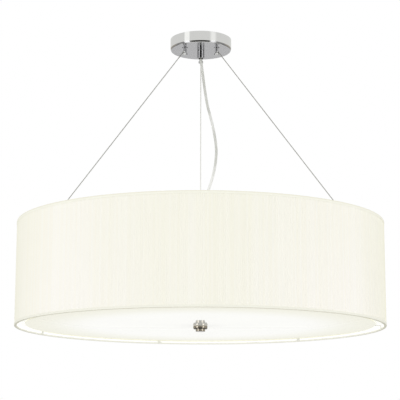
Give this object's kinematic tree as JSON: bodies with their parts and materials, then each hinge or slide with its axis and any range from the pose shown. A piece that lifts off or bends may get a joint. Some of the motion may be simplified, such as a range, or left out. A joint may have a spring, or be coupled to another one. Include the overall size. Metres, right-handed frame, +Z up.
{
  "type": "drum pendant light",
  "caption": "Wide pleated drum shade with an opal diffuser, hung from a round chrome ceiling canopy on three spread steel wires with a slack clear flex.",
  "frame": {"origin": "middle of the ceiling bracket's flat top face, where the light is fixed to the ceiling", "axes": "+Z up out of the light into the ceiling, which is also the light's upright axis; -Y is the front; +X is to the right seen from the front"},
  "size_m": [0.9014, 0.9014, 0.7415],
  "materials": {
    "chrome": "mirror-polished chrome plate",
    "zinc_steel": "bright zinc plate",
    "wire_steel": "fine stranded steel",
    "white_enamel": "satin white powder coat",
    "white_plastic": "satin moulded plastic",
    "clear_flex": "clear soft PVC over two cores",
    "dark_rubber": "matt black",
    "ivory_fabric": "fine upright pleats, slight sheen",
    "white_lining": "smooth bonded lining",
    "opal_acrylic": "glossy opal",
    "opal_glass": "opal, lit"
  },
  "bodies": {
    "fixture": {"canopy_cup": "chrome", "top_post_left": "chrome", "top_post_right": "chrome", "top_post_rear": "chrome", "lower_post_left": "chrome", "lower_post_right": "chrome", "lower_post_rear": "chrome", "ceiling_bracket": "zinc_steel", "gland_stem": "zinc_steel", "gland_locknut": "zinc_steel", "centre_rod": "zinc_steel", "plate_nut": "zinc_steel", "lamp_body_nut": "zinc_steel", "diffuser_nut": "zinc_steel", "wire_left": "wire_steel", "wire_right": "wire_steel", "wire_rear": "wire_steel", "carrier_arm_left": "white_enamel", "carrier_arm_right": "white_enamel", "carrier_arm_rear": "white_enamel", "carrier_plate": "white_enamel", "lamp_body": "white_enamel", "lamp_body_cover": "white_enamel", "lamp_arm_1": "white_enamel", "lamp_arm_2": "white_enamel", "lamp_arm_3": "white_enamel", "lamp_arm_4": "white_enamel", "lamp_arm_5": "white_enamel", "lamp_arm_6": "white_enamel", "top_ring": "white_enamel", "bottom_ring": "white_enamel", "terminal_block": "white_plastic", "lampholder_1": "white_plastic", "lampholder_2": "white_plastic", "lampholder_3": "white_plastic", "lampholder_4": "white_plastic", "lampholder_5": "white_plastic", "lampholder_6": "white_plastic", "supply_flex": "clear_flex", "gland_insert": "dark_rubber", "shade_cover": "ivory_fabric", "top_hem": "ivory_fabric", "bottom_hem": "ivory_fabric", "shade_lining": "white_lining"},
    "diffuser": {"diffuser": "opal_acrylic"},
    "finial": {"finial": "chrome"},
    "gland_nut": {"gland_nut": "chrome"},
    "lower_gland": {"lower_gland": "white_plastic"},
    "cap_left": {"top_cap_left": "chrome"},
    "cap_right": {"top_cap_right": "chrome"},
    "cap_rear": {"top_cap_rear": "chrome"},
    "screw_left": {"canopy_screw_left": "chrome"},
    "screw_right": {"canopy_screw_right": "chrome"},
    "bulb_1": {"bulb_1": "opal_glass"},
    "bulb_2": {"bulb_2": "opal_glass"},
    "bulb_3": {"bulb_3": "opal_glass"},
    "bulb_4": {"bulb_4": "opal_glass"},
    "bulb_5": {"bulb_5": "opal_glass"},
    "bulb_6": {"bulb_6": "opal_glass"}
  },
  "joints": [
    {"name": "diffuser_drop", "type": "slide", "parent": "fixture", "child": "diffuser", "axis": [0, 0, -1], "range_m": [0, 0.08]},
    {"name": "finial_turn", "type": "hinge", "parent": "diffuser", "child": "finial", "pos_m": [0, 0, -0.7283], "axis": [0, 0, 1], "continuous": true},
    {"name": "gland_nut_turn", "type": "hinge", "parent": "fixture", "child": "gland_nut", "pos_m": [0, 0, -0.0289], "axis": [0, 0, 1], "continuous": true},
    {"name": "lower_gland_turn", "type": "hinge", "parent": "fixture", "child": "lower_gland", "pos_m": [0, 0, -0.4972], "axis": [0, 0, 1], "continuous": true},
    {"name": "cap_right_turn", "type": "hinge", "parent": "fixture", "child": "cap_right", "pos_m": [0.03984, -0.023, -0.0286], "axis": [0, 0, 1], "continuous": true},
    {"name": "cap_left_turn", "type": "hinge", "parent": "fixture", "child": "cap_left", "pos_m": [-0.03984, -0.023, -0.0286], "axis": [0, 0, 1], "continuous": true},
    {"name": "cap_rear_turn", "type": "hinge", "parent": "fixture", "child": "cap_rear", "pos_m": [0, 0.046, -0.0286], "axis": [0, 0, 1], "continuous": true},
    {"name": "screw_left_turn", "type": "hinge", "parent": "fixture", "child": "screw_left", "pos_m": [-0.077, 0, -0.0095], "axis": [1, 0, 0], "continuous": true},
    {"name": "screw_right_turn", "type": "hinge", "parent": "fixture", "child": "screw_right", "pos_m": [0.077, 0, -0.0095], "axis": [1, 0, 0], "continuous": true},
    {"name": "bulb_1_turn", "type": "hinge", "parent": "fixture", "child": "bulb_1", "pos_m": [0, 0, -0.58316], "axis": [0.5, -0.866, 0], "continuous": true},
    {"name": "bulb_2_turn", "type": "hinge", "parent": "fixture", "child": "bulb_2", "pos_m": [0, 0, -0.58316], "axis": [1, 0, 0], "continuous": true},
    {"name": "bulb_3_turn", "type": "hinge", "parent": "fixture", "child": "bulb_3", "pos_m": [0, 0, -0.58316], "axis": [0.5, 0.866, 0], "continuous": true},
    {"name": "bulb_4_turn", "type": "hinge", "parent": "fixture", "child": "bulb_4", "pos_m": [0, 0, -0.58316], "axis": [-0.5, 0.866, 0], "continuous": true},
    {"name": "bulb_5_turn", "type": "hinge", "parent": "fixture", "child": "bulb_5", "pos_m": [0, 0, -0.58316], "axis": [-1, 0, 0], "continuous": true},
    {"name": "bulb_6_turn", "type": "hinge", "parent": "fixture", "child": "bulb_6", "pos_m": [0, 0, -0.58316], "axis": [-0.5, -0.866, 0], "continuous": true}
  ]
}
